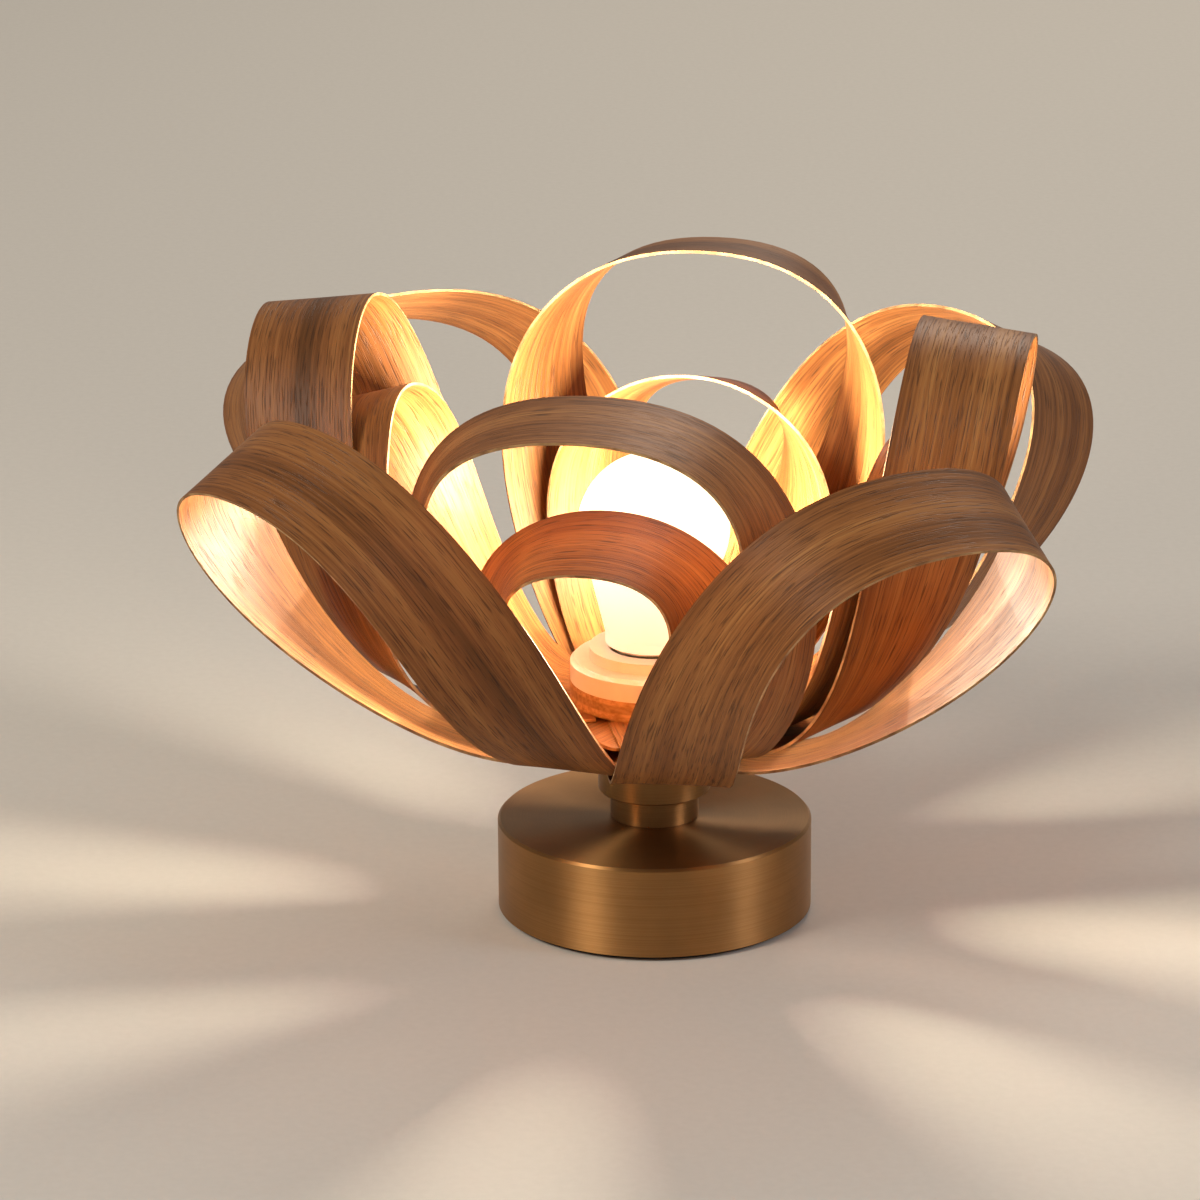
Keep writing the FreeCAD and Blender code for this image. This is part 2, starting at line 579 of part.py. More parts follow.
def petal_leg(petal, tier, foot, side):
    """One leg in the petal's own frame: its tongue's ends, then its bent part up to the crown."""
    def petal_size(column):
        return size(f"{petal}_{column}")

    def tier_size(column):
        return size(f"{tier}_{column}")

    hand = "left" if side > 0 else "right"
    splay = math.radians(size("splay_degrees"))
    lean = math.radians(tier_size("crown_lean_degrees"))
    up = FreeCAD.Vector(0, 0, 1)
    along = FreeCAD.Vector(math.cos(splay), side * math.sin(splay), 0)
    hub_across = FreeCAD.Vector(math.sin(splay), -side * math.cos(splay), 0)
    crown_across = FreeCAD.Vector(math.sin(lean), 0, -math.cos(lean))
    lift = size("veneer") / 2 + (size("veneer") + size("glue_gap") if side > 0 else 0)
    middle = up * (foot + lift)
    bend = along * size("flat_reach") + middle
    pull = tier_size("leg_pull") * (1 + side * petal_size("uneven_share"))
    crown = FreeCAD.Vector(petal_size("reach"), petal_size("sway"), petal_size("rise"))
    shoulder = crown + FreeCAD.Vector(0, side * petal_size("half_span"), 0)
    curve = (bend, bend + along * pull, shoulder, crown)
    flat = hub_across.cross(along) * side
    tongue = [(along * tier_size("tongue_start") + middle, hub_across, flat), (bend, hub_across, flat)]
    bent = []
    for i in range(STATIONS_PER_LEG):
        share = i / (STATIONS_PER_LEG - 1)
        place, way = cubic(curve, share)
        twist = math.sin(math.pi / 2 * share ** petal_size(hand + "_twist_share")) ** 2
        width_way = across_strip(hub_across, crown_across, twist, way)
        bent.append((place, width_way, width_way.cross(way) * side))
    return tongue, bent


def strip_solid(stations):
    """A strip of even width and thickness through the stations, closed by flat ends."""
    half_width = size("strip_width") / 2
    half_veneer = size("veneer") / 2
    shares = [i / (len(stations) - 1) for i in range(len(stations))]
    corners = []
    for across, out in ((-1, -1), (1, -1), (1, 1), (-1, 1)):
        corners.append([place + width_way * (across * half_width) + face_way * (out * half_veneer)
                        for place, width_way, face_way in stations])
    edges = []
    for points in corners:
        curve = Part.BSplineCurve()
        curve.interpolate(Points=points, Parameters=shares)
        edges.append(curve.toShape())
    faces = [Part.makeRuledSurface(edges[i], edges[(i + 1) % len(edges)]) for i in range(len(edges))]
    for end in (0, -1):
        rim = [points[end] for points in corners]
        faces.append(Part.Face(Part.makePolygon(rim + rim[:1])))
    shell = Part.Shell(faces)
    shell.sewShape()
    solid = Part.Solid(shell)
    if solid.Volume < 0:
        solid.reverse()
    return solid


def make_petals():
    feet = {"outer": "clamp_top", "tall": "lower_spacer_top", "inner": "upper_spacer_top"}
    for index, petal in enumerate(PETALS):
        tier = petal.split("_")[0]
        tongue_a, bent_a = petal_leg(petal, tier, level(feet[tier]), 1)
        tongue_b, bent_b = petal_leg(petal, tier, level(feet[tier]), -1)
        band = strip_solid(bent_a + bent_b[-2::-1])
        shape = band.fuse([strip_solid(tongue_a), strip_solid(tongue_b)])
        node = doc.addObject("Part::Feature", petal)
        node.Shape = shape.Solids[0] if len(shape.Solids) == 1 else shape
        place = index % PETALS_PER_TIER * 360 / PETALS_PER_TIER
        azimuth = size(f"{tier}_azimuth_degrees") + place + size(f"{petal}_turn_degrees")
        node.Placement = FreeCAD.Placement(FreeCAD.Vector(), FreeCAD.Rotation(FreeCAD.Vector(0, 0, 1), azimuth))
        keep(node)


make_base_shell()
make_base_plate()
make_tube()
make_neck()
make_hub()
make_holder()
make_bulb()
make_switch()
make_board()
make_battery()
make_lead_wires()
make_petals()
doc.recompute()

for item in doc.Objects:
    if "Invalid" in item.State or "Error" in item.State:
        raise RuntimeError(f"{item.Label} failed: {item.State}")
for node in NODES:
    if node.Shape.isNull() or not node.Shape.isValid() or not node.Shape.Solids:
        raise RuntimeError(f"{node.Label} has no valid solid")

os.makedirs("parts", exist_ok=True)
for node in NODES:
    node.Shape.exportStep(f"parts/{node.Label}.step")
    print(node.Label, len(node.Shape.Solids), "solid", round(node.Shape.Volume, 1))
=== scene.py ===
# %% [markdown]
# # A lamp of bent veneer
# This lesson dresses a small table lamp. Twelve strips of wood veneer loop out of a hub like the
# petals of a flower, round a frosted bulb, on a short brass neck and a round brass base.
# The solids come from CAD and stay where they are. Here they get their finishes, and the strips
# and the bulb's thread are modelled again, because grain and thread need surfaces of their own.

# %% Load the fixed frame
import math

import bpy
from mathutils import Matrix, Vector


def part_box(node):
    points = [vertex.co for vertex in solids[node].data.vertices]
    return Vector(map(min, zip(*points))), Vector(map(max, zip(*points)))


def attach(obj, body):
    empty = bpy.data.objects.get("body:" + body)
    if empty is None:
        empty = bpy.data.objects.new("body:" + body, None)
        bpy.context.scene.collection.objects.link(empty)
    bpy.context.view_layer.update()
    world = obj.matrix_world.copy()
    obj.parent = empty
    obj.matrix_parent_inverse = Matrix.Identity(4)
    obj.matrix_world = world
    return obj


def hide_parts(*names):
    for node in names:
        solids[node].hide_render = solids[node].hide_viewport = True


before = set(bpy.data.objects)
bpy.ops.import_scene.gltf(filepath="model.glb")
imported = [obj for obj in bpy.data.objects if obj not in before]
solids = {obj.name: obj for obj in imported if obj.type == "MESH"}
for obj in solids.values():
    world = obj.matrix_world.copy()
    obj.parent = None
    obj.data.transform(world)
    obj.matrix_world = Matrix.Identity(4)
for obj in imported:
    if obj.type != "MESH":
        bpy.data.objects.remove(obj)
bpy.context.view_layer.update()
MM = 0.001
bpy.ops.object.select_all(action="DESELECT")

# %% [markdown]
# ## The view
# The photograph looks down on the lamp by eighteen degrees from about 1.7 metres, through a long
# lens. A camera's own axes are right, up and backwards, so its matrix is built from those three
# directions instead of from guessed angles. The picture is taken to be square.

# %% Camera
LOOK_DOWN = 0.315
ROLL = 0.006
LENS_SHARE = 4.5241
SENSOR = 36
LAMP_FROM_CAMERA = Vector((17.2 * MM, -95.5 * MM, -1706 * MM))

right = Vector((1, 0, 0))
forward = Vector((0, math.cos(LOOK_DOWN), -math.sin(LOOK_DOWN)))
up = right.cross(forward)
tilted_right = right * math.cos(ROLL) - up * math.sin(ROLL)
tilted_up = up * math.cos(ROLL) + right * math.sin(ROLL)
turn = Matrix((tilted_right, tilted_up, -forward)).transposed()

bpy.ops.object.camera_add()
camera = bpy.context.object
camera.data.lens = LENS_SHARE * SENSOR
camera.data.sensor_width = SENSOR
camera.matrix_world = Matrix.Translation(turn @ -LAMP_FROM_CAMERA) @ turn.to_4x4()
bpy.context.scene.camera = camera
print("camera at", [round(v, 3) for v in camera.matrix_world.translation])

# %% [markdown]
# ## Helpers for materials
# Every finish below is a small node tree. One helper turns a colour picked on screen, an sRGB hex
# value, into the linear light values that shaders use. The other adds a node, sets it up and joins
# it. Two smaller ones start a material and turn millimetres into a texture's scale. With those, a
# material reads from top to bottom like a recipe.

# %% Material helpers
def tone(code):
    """An sRGB hex colour as linear red, green, blue and alpha."""
    shares = [int(code[i:i + 2], 16) / 255 for i in (1, 3, 5)]
    return [s / 12.92 if s <= 0.04045 else ((s + 0.055) / 1.055) ** 2.4 for s in shares] + [1.0]


def add(tree, kind, fill=None, ramp=(), **settings):
    """Adds a shader node, sets it, fills or joins its sockets, and places a ramp's colour stops."""
    node = tree.nodes.new("ShaderNode" + kind)
    for name, value in settings.items():
        setattr(node, name, value)
    for socket, value in (fill or {}).items():
        if isinstance(value, bpy.types.NodeSocket):
            tree.links.new(value, node.inputs[socket])
        else:
            node.inputs[socket].default_value = value
    for i, (place, code) in enumerate(ramp):
        stop = node.color_ramp.elements[i] if i < 2 else node.color_ramp.elements.new(place)
        stop.position = place
        stop.color = tone(code)
    return node


def begin(name, sockets):
    """A new material with its main shader's constant sockets set."""
    material = bpy.data.materials.new(name)
    material.use_nodes = True
    shader = material.node_tree.nodes["Principled BSDF"]
    for socket, value in sockets.items():
        shader.inputs[socket].default_value = value
    return material, material.node_tree, shader


def per_mm(size):
    """The texture scale at which one feature is this many millimetres wide."""
    return 1 / (size * MM)


print("middle grey in linear light:", round(tone("#808080")[0], 3))

# %% [markdown]
# ## Walnut veneer
# The strips are sliced walnut, under a millimetre thick, sanded and oiled. The eye sees three
# things: broad bands of lighter and darker wood, fine growth lines that follow the strip, and open
# pores, short dark dashes along the grain. All three are noise stretched along the strip, so
# the material reads the strip's own UV map, which is laid out in metres. Real pores are a fifth of a
# millimetre wide; they are drawn at half a millimetre so that they show in the render.

# %% Veneer
def walnut_veneer():
    """Sliced, sanded and oiled wood: a soft sheen that breaks up along the lines, and dark open pores."""
    material, tree, shader = begin("walnut veneer, oiled", {"Specular IOR Level": 0.25})
    uv = add(tree, "UVMap", uv_map="grain").outputs["UV"]

    def stretched(along, across, **settings):
        lay = add(tree, "Mapping", {"Vector": uv, "Scale": (per_mm(along), per_mm(across), 1)})
        return add(tree, "TexNoise", {"Vector": lay.outputs["Vector"], "Scale": 1, **settings}).outputs["Fac"]

    bands = stretched(300, 16, Detail=2)
    lines = stretched(190, 1.2, Detail=5, Roughness=0.65, Distortion=0.2)
    pores = stretched(11, 0.45, Detail=1, Distortion=0.2)
    figure = add(tree, "Mix", {0: 0.5, 2: bands, 3: lines}, data_type="FLOAT").outputs[0]
    wood = add(tree, "ValToRGB", {0: figure}, ramp=(
        (0.36, "#603a18"), (0.46, "#814f26"), (0.54, "#986233"), (0.66, "#b27b43"))).outputs["Color"]
    dashes = add(tree, "MapRange", {"Value": pores, "From Min": 0.56, "From Max": 0.66}).outputs["Result"]
    darker = add(tree, "Math", {0: dashes, 1: 0.62}, operation="MULTIPLY").outputs[0]
    colour = add(tree, "Mix", {0: darker, 6: wood, 7: tone("#3a200c")}, data_type="RGBA").outputs[2]
    tree.links.new(colour, shader.inputs["Base Color"])
    gloss = add(tree, "MapRange", {"Value": lines, "To Min": 0.38, "To Max": 0.55}).outputs["Result"]
    tree.links.new(gloss, shader.inputs["Roughness"])
    relief = add(tree, "Math", {0: lines, 1: dashes}, operation="SUBTRACT").outputs[0]
    bump = add(tree, "Bump", {"Height": relief, "Strength": 0.5, "Distance": 0.16 * MM})
    tree.links.new(bump.outputs["Normal"], shader.inputs["Normal"])
    return material


def veneer_edge():
    """The cut edge of the veneer: raw, paler wood with short end fibres."""
    material, tree, shader = begin("walnut veneer, cut edge", {"Roughness": 0.7})
    uv = add(tree, "UVMap", uv_map="grain").outputs["UV"]
    lay = add(tree, "Mapping", {"Vector": uv, "Scale": (per_mm(6), per_mm(2), 1)})
    fibres = add(tree, "TexNoise", {"Vector": lay.outputs["Vector"], "Scale": 1, "Detail": 3}).outputs["Fac"]
    wood = add(tree, "ValToRGB", {0: fibres}, ramp=((0.35, "#8a6038"), (0.62, "#c39a66"))).outputs["Color"]
    tree.links.new(wood, shader.inputs["Base Color"])
    return material


VENEER = walnut_veneer()
VENEER_EDGE = veneer_edge()
print("made", VENEER.name, "and", VENEER_EDGE.name)

# %% [markdown]
# ## The strips
# A maker cuts a straight strip, clamps one end in the hub, bends the strip up and over and clamps the
# other end. The same steps work here. A flat grid is the cut strip, and its UV map is the grain. Then
# each row of the grid moves to its place on the bent strip: along a cubic curve that leaves the hub
# flat and reaches the crown, with the strip's width turning steadily on the way. Solidify gives the
# veneer its thickness, and its rim takes the paler edge. An array bent by a curve modifier would
# stretch the grain at the crown, and a ribbon curve would leave the twist to Blender.

# %% Strip sizes
WIDTH = 35 * MM
THICK = 0.9 * MM
GLUE_GAP = 0.3 * MM
FLAT_REACH = 40 * MM
SPLAY = math.radians(22.5)
ROWS_PER_LEG = 56
COLUMNS = 8
SHEET_STEP = 370 * MM
TIERS = {
    "outer": dict(first=38, foot=57.5 * MM, start=24.5 * MM, pull=51 * MM, lean=63),
    "tall": dict(first=79, foot=63.0 * MM, start=21 * MM, pull=54 * MM, lean=83),
    "inner": dict(first=76, foot=66.8 * MM, start=21 * MM, pull=34 * MM, lean=74),
}
PETALS = {
    "outer_petal_rear_right": dict(reach=141, rise=163, sway=-8.5, half_span=84.5, uneven=-0.28,
                                   turn=6, twist=(0.735, 0.57)),
    "outer_petal_rear_left": dict(reach=150, rise=162, sway=10, half_span=118, uneven=-0.15,
                                  turn=-4, twist=(0.8, 0.8)),
    "outer_petal_front_left": dict(reach=134, rise=167, sway=-19.5, half_span=75.5, uneven=-0.145,
                                   turn=3, twist=(0.8, 0.93)),
    "outer_petal_front_right": dict(reach=136, rise=162.5, sway=21, half_span=85, uneven=-0.1,
                                    turn=-11.5, twist=(0.69, 0.76)),
    "tall_petal_rear": dict(reach=88.5, rise=191, sway=-2, half_span=93, uneven=0.14,
                            turn=0, twist=(1.29, 1.19)),
    "tall_petal_left": dict(reach=112, rise=183, sway=-28.5, half_span=55, uneven=0.39,
                            turn=0, twist=(0.75, 1.07)),
    "tall_petal_front": dict(reach=80, rise=180.5, sway=-6, half_span=98, uneven=0.22,
                             turn=0, twist=(1.015, 1.04)),
    "tall_petal_right": dict(reach=96.5, rise=186.5, sway=15.6, half_span=68.5, uneven=-0.055,
                             turn=0, twist=(0.615, 0.915)),
    "inner_petal_rear": dict(reach=82, rise=149, sway=4, half_span=56, uneven=0.2,
                             turn=0, twist=(1.45, 1.45)),
    "inner_petal_left": dict(reach=97, rise=157, sway=-5, half_span=53, uneven=0.1,
                             turn=0, twist=(1.45, 1.45)),
    "inner_petal_front": dict(reach=76.5, rise=142, sway=1.2, half_span=56.5, uneven=0.28,
                              turn=0, twist=(1.4, 1.31)),
    "inner_petal_right": dict(reach=88, rise=149, sway=4, half_span=52, uneven=0,
                              turn=0, twist=(1.45, 1.45)),
}
print("strips:", len(PETALS), "in tiers:", list(TIERS))


# %% Where each row of a strip goes
def leg_rows(petal, tier, side):
    """Places and width directions from the tongue's end to the crown, in the petal's own frame."""
    along = Vector((math.cos(SPLAY), side * math.sin(SPLAY), 0))
    hub_width = Vector((math.sin(SPLAY), -side * math.cos(SPLAY), 0))
    lean = math.radians(tier["lean"])
    twist = petal["twist"][0 if side > 0 else 1]
    crown_width = Vector((math.sin(lean), 0, -math.cos(lean)))
    height = tier["foot"] + THICK / 2 + (THICK + GLUE_GAP if side > 0 else 0)
    bend = along * FLAT_REACH + Vector((0, 0, height))
    crown = Vector((petal["reach"], petal["sway"], petal["rise"])) * MM
    shoulder = crown + Vector((0, side * petal["half_span"] * MM, 0))
    knee = bend + along * tier["pull"] * (1 + side * petal["uneven"])
    rows = [(along * tier["start"] + Vector((0, 0, height)), hub_width)]
    for i in range(ROWS_PER_LEG):
        t = i / (ROWS_PER_LEG - 1)
        rest = 1 - t
        place = bend * rest ** 3 + knee * 3 * rest * rest * t + shoulder * 3 * rest * t * t + crown * t ** 3
        way = (knee - bend) * rest * rest + (shoulder - knee) * 2 * rest * t + (crown - shoulder) * t * t
        way.normalize()
        share = math.sin(math.pi / 2 * t ** twist) ** 2
        width = hub_width.lerp(crown_width, share)
        width -= way * width.dot(way)
        rows.append((place, width.normalized()))
    return rows


sample = leg_rows(PETALS["inner_petal_front"], TIERS["inner"], 1)
print("rows on one leg:", len(sample), "crown in mm:", [round(v / MM) for v in sample[-1][0]])

# %% Bend the strips
def bend_strip(index, name):
    tier = TIERS[name.split("_")[0]]
    petal = PETALS[name]
    rows = leg_rows(petal, tier, 1) + leg_rows(petal, tier, -1)[-2::-1]
    lengths = [0.0]
    for (here, _), (there, _) in zip(rows, rows[1:]):
        lengths.append(lengths[-1] + (there - here).length)
    bpy.ops.object.select_all(action="DESELECT")
    bpy.ops.mesh.primitive_grid_add(x_subdivisions=len(rows) - 1, y_subdivisions=COLUMNS, size=1)
    strip = bpy.context.object
    strip.name = "veneer_" + name
    mesh = strip.data
    mesh.uv_layers[0].name = "grain"
    place_of = [(round((v.co.x + 0.5) * (len(rows) - 1)), v.co.y * WIDTH) for v in mesh.vertices]
    offset = SHEET_STEP * index
    for loop in mesh.loops:
        row, across = place_of[loop.vertex_index]
        mesh.uv_layers["grain"].data[loop.index].uv = (lengths[row] + offset, across + offset)
    compass = math.radians(tier["first"] + index % 4 * 90 + petal["turn"])
    about_axis = Matrix.Rotation(compass, 3, "Z")
    for vertex, (row, across) in zip(mesh.vertices, place_of):
        place, width = rows[row]
        vertex.co = about_axis @ (place + width * across)
    mesh.materials.append(VENEER)
    mesh.materials.append(VENEER_EDGE)
    thicken = strip.modifiers.new("veneer", "SOLIDIFY")
    thicken.thickness = THICK
    thicken.offset = 0
    thicken.use_even_offset = True
    thicken.material_offset_rim = 1
    bpy.ops.object.modifier_apply(modifier="veneer")
    bpy.ops.object.shade_smooth_by_angle(angle=math.radians(40))
    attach(strip, "lamp")
    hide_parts(name)
    return strip, lengths[-1]


strips = [bend_strip(i, name) for i, name in enumerate(PETALS)]
print("strip lengths in mm:", [round(length / MM) for _, length in strips])

# %% [markdown]
# ## Brushed bronze-toned brass
# Base and neck are turned on a lathe, brushed while they spin and lacquered in an aged tone.
# Brushing leaves fine rings round the axis, and those rings stretch every reflection across them:
# upright streaks on the sides and a fan on top. Anisotropy with a tangent that runs round the Z axis
# does that once it is turned by a quarter, because a highlight is longest along its tangent. The rings
# themselves are noise read by radius and height, a third of a millimetre apart.

# %% Metal of the base and neck
def brushed_brass():
    """Turned, brushed and lacquered: warm brown metal with soft streaks across the rings, duller in patches."""
    material, tree, shader = begin("brass, brushed and aged", {
        "Metallic": 1.0, "Anisotropic": 0.9, "Anisotropic Rotation": 0.25})
    point = add(tree, "TexCoord").outputs["Object"]
    axes = add(tree, "SeparateXYZ", {0: point})
    flat = add(tree, "CombineXYZ", {0: axes.outputs[0], 1: axes.outputs[1]}).outputs[0]
    radius = add(tree, "VectorMath", {0: flat}, operation="LENGTH").outputs["Value"]
    section = add(tree, "CombineXYZ", {0: radius, 1: axes.outputs[2]}).outputs[0]
    rings = add(tree, "TexNoise", {"Vector": section, "Scale": per_mm(0.3), "Detail": 1}).outputs["Fac"]
    swept = add(tree, "TexNoise", {"Vector": point, "Scale": per_mm(22), "Detail": 3}).outputs["Fac"]
    metal = add(tree, "ValToRGB", {0: rings}, ramp=((0.3, "#ab7d4b"), (0.7, "#b98a55"))).outputs["Color"]
    aged = add(tree, "MapRange", {"Value": swept, "From Min": 0.4, "From Max": 0.75, "To Max": 0.35}).outputs[0]
    colour = add(tree, "Mix", {0: aged, 6: metal, 7: tone("#7d5833")}, data_type="RGBA").outputs[2]
    tree.links.new(colour, shader.inputs["Base Color"])
    gloss = add(tree, "MapRange", {"Value": rings, "To Min": 0.38, "To Max": 0.5}).outputs["Result"]
    tree.links.new(gloss, shader.inputs["Roughness"])
    tangent = add(tree, "Tangent", direction_type="RADIAL", axis="Z").outputs[0]
    tree.links.new(tangent, shader.inputs["Tangent"])
    bump = add(tree, "Bump", {"Height": rings, "Strength": 0.06, "Distance": 0.04 * MM})
    tree.links.new(bump.outputs["Normal"], shader.inputs["Normal"])
    return material


def dress(material, *names):
    """Gives CAD solids their finish; their shape and place stay as they are."""
    for name in names:
        solids[name].material_slots[0].material = material
    print(material.name, "->", ", ".join(names))


dress(brushed_brass(), "base_shell", "neck_ring", "neck_collar")

# %% [markdown]
# ## Plain metals
# Plate, posts, tube, nuts and screws are zinc-plated steel, the contacts are bare brass, and the
# switch and the port's shell are stainless. Each differs in tone, in roughness and in how the
# surface was worked: plating is cloudy, drawn brass is dull in patches, and a turned face shines in rings.

# %% Steel, contacts and switch
def cloudy_metal(name, dark, light, cloud, roughness):
    material, tree, shader = begin(name, {"Metallic": 1.0})
    point = add(tree, "TexCoord").outputs["Object"]
    clouds = add(tree, "TexNoise", {"Vector": point, "Scale": per_mm(cloud), "Detail": 4}).outputs["Fac"]
    colour = add(tree, "ValToRGB", {0: clouds}, ramp=((0.35, dark), (0.68, light))).outputs["Color"]
    tree.links.new(colour, shader.inputs["Base Color"])
    low, high = roughness
    gloss = add(tree, "MapRange", {"Value": clouds, "To Min": low, "To Max": high}).outputs["Result"]
    tree.links.new(gloss, shader.inputs["Roughness"])
    scratches = add(tree, "TexNoise", {"Vector": point, "Scale": per_mm(cloud / 6)}).outputs["Fac"]
    bump = add(tree, "Bump", {"Height": scratches, "Strength": 0.1, "Distance": 0.03 * MM})
    tree.links.new(bump.outputs["Normal"], shader.inputs["Normal"])
    return material


def turned_steel():
    """Faced on a lathe: fine rings round the button's axis catch the light, and the face looks silky."""
    material, tree, shader = begin("stainless steel, satin turned", {"Metallic": 1.0})
    low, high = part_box("power_button")
    middle = (low + high) / 2
    point = add(tree, "TexCoord").outputs["Object"]
    spot = add(tree, "Mapping", {"Vector": point, "Location": (-middle.x, 0, -middle.z), "Scale": (1, 0, 1)})
    radius = add(tree, "VectorMath", {0: spot.outputs[0]}, operation="LENGTH").outputs["Value"]
    across = add(tree, "CombineXYZ", {0: radius}).outputs[0]
    rings = add(tree, "TexNoise", {"Vector": across, "Scale": per_mm(0.5), "Detail": 2}).outputs["Fac"]
    colour = add(tree, "ValToRGB", {0: rings}, ramp=((0.35, "#9b9a96"), (0.65, "#c9c8c4"))).outputs["Color"]
    tree.links.new(colour, shader.inputs["Base Color"])
    gloss = add(tree, "MapRange", {"Value": rings, "To Min": 0.24, "To Max": 0.4}).outputs["Result"]
    tree.links.new(gloss, shader.inputs["Roughness"])
    bump = add(tree, "Bump", {"Height": rings, "Strength": 0.25, "Distance": 0.04 * MM})
    tree.links.new(bump.outputs["Normal"], shader.inputs["Normal"])
    return material


# Plating from a bath: cold grey, cloudy, half dull.
ZINC = cloudy_metal("steel, zinc plated", "#8d8f90", "#bfc0bd", 6, (0.3, 0.5))
# Sheet from the press: yellow and fairly bright, dull in patches.
CONTACT_BRASS = cloudy_metal("brass, drawn sheet", "#a8873f", "#d3b567", 4, (0.25, 0.42))
# Rolled and plated: pale, bright on the crests, a little milky.
NICKEL = cloudy_metal("aluminium cap, rolled and nickel plated", "#a5a49f", "#cfcdc6", 5, (0.2, 0.4))
dress(ZINC, "base_plate", "plate_screws", "base_posts", "threaded_tube", "tube_washer", "tube_nut",
      "collar_nut", "switch_nut")
dress(CONTACT_BRASS, "holder_screw_shell", "holder_contact", "bulb_contact")
dress(turned_steel(), "switch_body", "power_button")

# %% [markdown]
# ## Plastics, rubber and paint
# A moulded or painted surface looks real when it isn't perfectly smooth. Moulded plastic has a fine
# grain from the tool, powder paint has a soft orange peel and rubber a dull stipple. One recipe
# serves them all: two tones mixed by slow noise, and a bump of fine noise at the grain's real size.

# %% Moulded and painted finishes
def grained(name, dark, light, grain, relief, sockets):
    material, tree, shader = begin(name, sockets)
    point = add(tree, "TexCoord").outputs["Object"]
    slow = add(tree, "TexNoise", {"Vector": point, "Scale": per_mm(14), "Detail": 3}).outputs["Fac"]
    colour = add(tree, "ValToRGB", {0: slow}, ramp=((0.35, dark), (0.65, light))).outputs["Color"]
    tree.links.new(colour, shader.inputs["Base Color"])
    fine = add(tree, "TexNoise", {"Vector": point, "Scale": per_mm(grain), "Detail": 2}).outputs["Fac"]
    bump = add(tree, "Bump", {"Height": fine, "Strength": relief, "Distance": 0.06 * MM})
    tree.links.new(bump.outputs["Normal"], shader.inputs["Normal"])
    return material


# Moulded: dull black that scatters light in a fine stipple.
RUBBER = grained("rubber, moulded stipple", "#1c1b1a", "#2a2927", 0.7, 0.6, {"Roughness": 0.85})
# Baked powder: matt, with the faint waves of an orange's skin.
POWDER = grained("powder paint, matt black", "#141312", "#1f1d1b", 0.9, 0.4, {"Roughness": 0.6})
# Moulded from a polished tool: clean white with a soft sheen.
WHITE_PBT = grained("thermoplastic polyester, white", "#e6e2d8", "#f0ede5", 0.5, 0.15, {"Roughness": 0.38})
# Glazed: black with a sharp, wet shine.
GLASS_BLACK = grained("vitrite glass, black", "#0d0d10", "#17171b", 2.0, 0.2, {"Roughness": 0.12})
# Moulded without dye: milky, half dull.
NYLON = grained("nylon, natural", "#dcd8c9", "#e8e5d8", 0.5, 0.2, {"Roughness": 0.5})
# Moulded from an etched tool: dark, with an even fine grain.
TRAY_ABS = grained("ABS, black moulded", "#161616", "#222222", 0.6, 0.4, {"Roughness": 0.55})
# Film shrunk on with heat: glossy, slightly rippled.
CELL_WRAP = grained("PVC shrink wrap, blue", "#284f86", "#3563a2", 3.0, 0.3, {"Roughness": 0.3})
dress(RUBBER, "foot_pad")
dress(POWDER, "clamp_plate")
dress(WHITE_PBT, "holder_shell")
dress(GLASS_BLACK, "bulb_insulator")
dress(NYLON, "board_standoffs", "wire_terminal", "battery_plug")
dress(TRAY_ABS, "battery_tray")
dress(CELL_WRAP, "battery_pack")

# %% [markdown]
# ## The hub's wood rings
# The rings between the strips are cut from thin plywood. Seen from the side it shows its plies, about
# one millimetre each, alternately along and across the grain; from above it shows one straight
# grain. A stripe read by height gives the plies, and stretched noise gives the grain.

# %% Plywood of the hub
def hub_plywood():
    """Cut and sealed: pale straight grain on top, plies in two tones round the edge."""
    material, tree, shader = begin("birch plywood, sealed", {"Roughness": 0.52})
    point = add(tree, "TexCoord").outputs["Object"]
    lay = add(tree, "Mapping", {"Vector": point, "Scale": (per_mm(40), per_mm(1.2), per_mm(1.2))})
    grain = add(tree, "TexNoise", {"Vector": lay.outputs["Vector"], "Scale": 1, "Detail": 4}).outputs["Fac"]
    wood = add(tree, "ValToRGB", {0: grain}, ramp=((0.35, "#9c6f42"), (0.65, "#c69a66"))).outputs["Color"]
    height = add(tree, "SeparateXYZ", {0: point}).outputs[2]
    plies = add(tree, "Math", {0: height, 1: per_mm(1.1)}, operation="MULTIPLY").outputs[0]
    stripe = add(tree, "Math", {0: plies, 1: 2.0}, operation="PINGPONG").outputs[0]
    glue = add(tree, "MapRange", {"Value": stripe, "From Min": 0.7, "From Max": 1.2, "To Max": 0.45}).outputs[0]
    colour = add(tree, "Mix", {0: glue, 6: wood, 7: tone("#6d4829")}, data_type="RGBA").outputs[2]
    tree.links.new(colour, shader.inputs["Base Color"])
    bump = add(tree, "Bump", {"Height": grain, "Strength": 0.2, "Distance": 0.08 * MM})
    tree.links.new(bump.outputs["Normal"], shader.inputs["Normal"])
    return material


dress(hub_plywood(), "lower_spacer", "upper_spacer", "hub_disc")

# %% [markdown]
# ## The lit bulb
# The globe is opal plastic, lit from inside. Opal spreads the light so evenly that the globe looks
# like one glowing ball, a little stronger above the board that carries the light sources. So
# the globe gets a warm emission that follows height, and a real light inside it does the work of
# lighting the strips: a light is sampled directly and leaves less noise than a glowing mesh. The
# globe casts no shadow, so that light gets out.

# %% Opal globe and light
GLOBE_MIDDLE = 124 * MM
GLOBE_RADIUS = 23.5 * MM
BULB_WATTS = 5.5
SCATTERED_WATTS = 3


